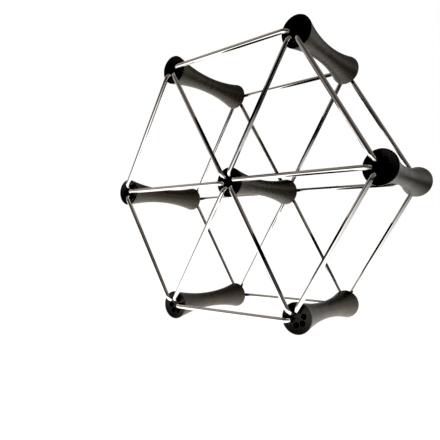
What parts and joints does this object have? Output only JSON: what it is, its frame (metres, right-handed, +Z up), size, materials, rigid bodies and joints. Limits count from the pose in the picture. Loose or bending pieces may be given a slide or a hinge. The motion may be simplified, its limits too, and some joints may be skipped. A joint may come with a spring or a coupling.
{
  "type": "wine rack",
  "caption": "Free-standing modular wine rack: spool-shaped rubber hubs on a hexagon lattice, joined front and back by staple-shaped steel rods that leave triangular bottle cells.",
  "frame": {"origin": "on the ground, below the middle of the rack, half way between its front and back", "axes": "+Z up, -Y the front, from where the bottles go in, +X to the right seen from the front"},
  "size_m": [0.352, 0.142, 0.3091],
  "materials": {
    "hub_rubber": "matte, soft touch",
    "rod_steel": "polished",
    "stud_steel": "plain turned"
  },
  "bodies": {
    "root": {"bottom_left_hub_front_half": "hub_rubber", "bottom_left_hub_back_half": "hub_rubber", "bottom_left_hub_stud": "stud_steel", "bottom_right_hub_front_half": "hub_rubber", "bottom_right_hub_back_half": "hub_rubber", "bottom_right_hub_stud": "stud_steel", "left_hub_front_half": "hub_rubber", "left_hub_back_half": "hub_rubber", "left_hub_stud": "stud_steel", "centre_hub_front_half": "hub_rubber", "centre_hub_back_half": "hub_rubber", "centre_hub_stud": "stud_steel", "right_hub_front_half": "hub_rubber", "right_hub_back_half": "hub_rubber", "right_hub_stud": "stud_steel", "top_left_hub_front_half": "hub_rubber", "top_left_hub_back_half": "hub_rubber", "top_left_hub_stud": "stud_steel", "top_right_hub_front_half": "hub_rubber", "top_right_hub_back_half": "hub_rubber", "top_right_hub_stud": "stud_steel", "back_rod_bottom_left_to_bottom_right": "rod_steel", "back_rod_bottom_left_to_left": "rod_steel", "back_rod_bottom_left_to_centre": "rod_steel", "back_rod_bottom_right_to_centre": "rod_steel", "back_rod_bottom_right_to_right": "rod_steel", "back_rod_left_to_centre": "rod_steel", "back_rod_left_to_top_left": "rod_steel", "back_rod_centre_to_right": "rod_steel", "back_rod_centre_to_top_left": "rod_steel", "back_rod_centre_to_top_right": "rod_steel", "back_rod_right_to_top_right": "rod_steel", "back_rod_top_left_to_top_right": "rod_steel"},
    "front_rod_bottom_left_to_bottom_right": {"front_rod_bottom_left_to_bottom_right": "rod_steel"},
    "front_rod_bottom_left_to_left": {"front_rod_bottom_left_to_left": "rod_steel"},
    "front_rod_bottom_left_to_centre": {"front_rod_bottom_left_to_centre": "rod_steel"},
    "front_rod_bottom_right_to_centre": {"front_rod_bottom_right_to_centre": "rod_steel"},
    "front_rod_bottom_right_to_right": {"front_rod_bottom_right_to_right": "rod_steel"},
    "front_rod_left_to_centre": {"front_rod_left_to_centre": "rod_steel"},
    "front_rod_left_to_top_left": {"front_rod_left_to_top_left": "rod_steel"},
    "front_rod_centre_to_right": {"front_rod_centre_to_right": "rod_steel"},
    "front_rod_centre_to_top_left": {"front_rod_centre_to_top_left": "rod_steel"},
    "front_rod_centre_to_top_right": {"front_rod_centre_to_top_right": "rod_steel"},
    "front_rod_right_to_top_right": {"front_rod_right_to_top_right": "rod_steel"},
    "front_rod_top_left_to_top_right": {"front_rod_top_left_to_top_right": "rod_steel"}
  },
  "joints": [
    {"name": "pull_front_rod_bottom_left_to_bottom_right", "type": "slide", "parent": "root", "child": "front_rod_bottom_left_to_bottom_right", "axis": [0, -1, 0], "range_m": [0, 0.03]},
    {"name": "pull_front_rod_bottom_left_to_left", "type": "slide", "parent": "root", "child": "front_rod_bottom_left_to_left", "axis": [0, -1, 0], "range_m": [0, 0.03]},
    {"name": "pull_front_rod_bottom_left_to_centre", "type": "slide", "parent": "root", "child": "front_rod_bottom_left_to_centre", "axis": [0, -1, 0], "range_m": [0, 0.03]},
    {"name": "pull_front_rod_bottom_right_to_centre", "type": "slide", "parent": "root", "child": "front_rod_bottom_right_to_centre", "axis": [0, -1, 0], "range_m": [0, 0.03]},
    {"name": "pull_front_rod_bottom_right_to_right", "type": "slide", "parent": "root", "child": "front_rod_bottom_right_to_right", "axis": [0, -1, 0], "range_m": [0, 0.03]},
    {"name": "pull_front_rod_left_to_centre", "type": "slide", "parent": "root", "child": "front_rod_left_to_centre", "axis": [0, -1, 0], "range_m": [0, 0.03]},
    {"name": "pull_front_rod_left_to_top_left", "type": "slide", "parent": "root", "child": "front_rod_left_to_top_left", "axis": [0, -1, 0], "range_m": [0, 0.03]},
    {"name": "pull_front_rod_centre_to_right", "type": "slide", "parent": "root", "child": "front_rod_centre_to_right", "axis": [0, -1, 0], "range_m": [0, 0.03]},
    {"name": "pull_front_rod_centre_to_top_left", "type": "slide", "parent": "root", "child": "front_rod_centre_to_top_left", "axis": [0, -1, 0], "range_m": [0, 0.03]},
    {"name": "pull_front_rod_centre_to_top_right", "type": "slide", "parent": "root", "child": "front_rod_centre_to_top_right", "axis": [0, -1, 0], "range_m": [0, 0.03]},
    {"name": "pull_front_rod_right_to_top_right", "type": "slide", "parent": "root", "child": "front_rod_right_to_top_right", "axis": [0, -1, 0], "range_m": [0, 0.03]},
    {"name": "pull_front_rod_top_left_to_top_right", "type": "slide", "parent": "root", "child": "front_rod_top_left_to_top_right", "axis": [0, -1, 0], "range_m": [0, 0.03]}
  ]
}
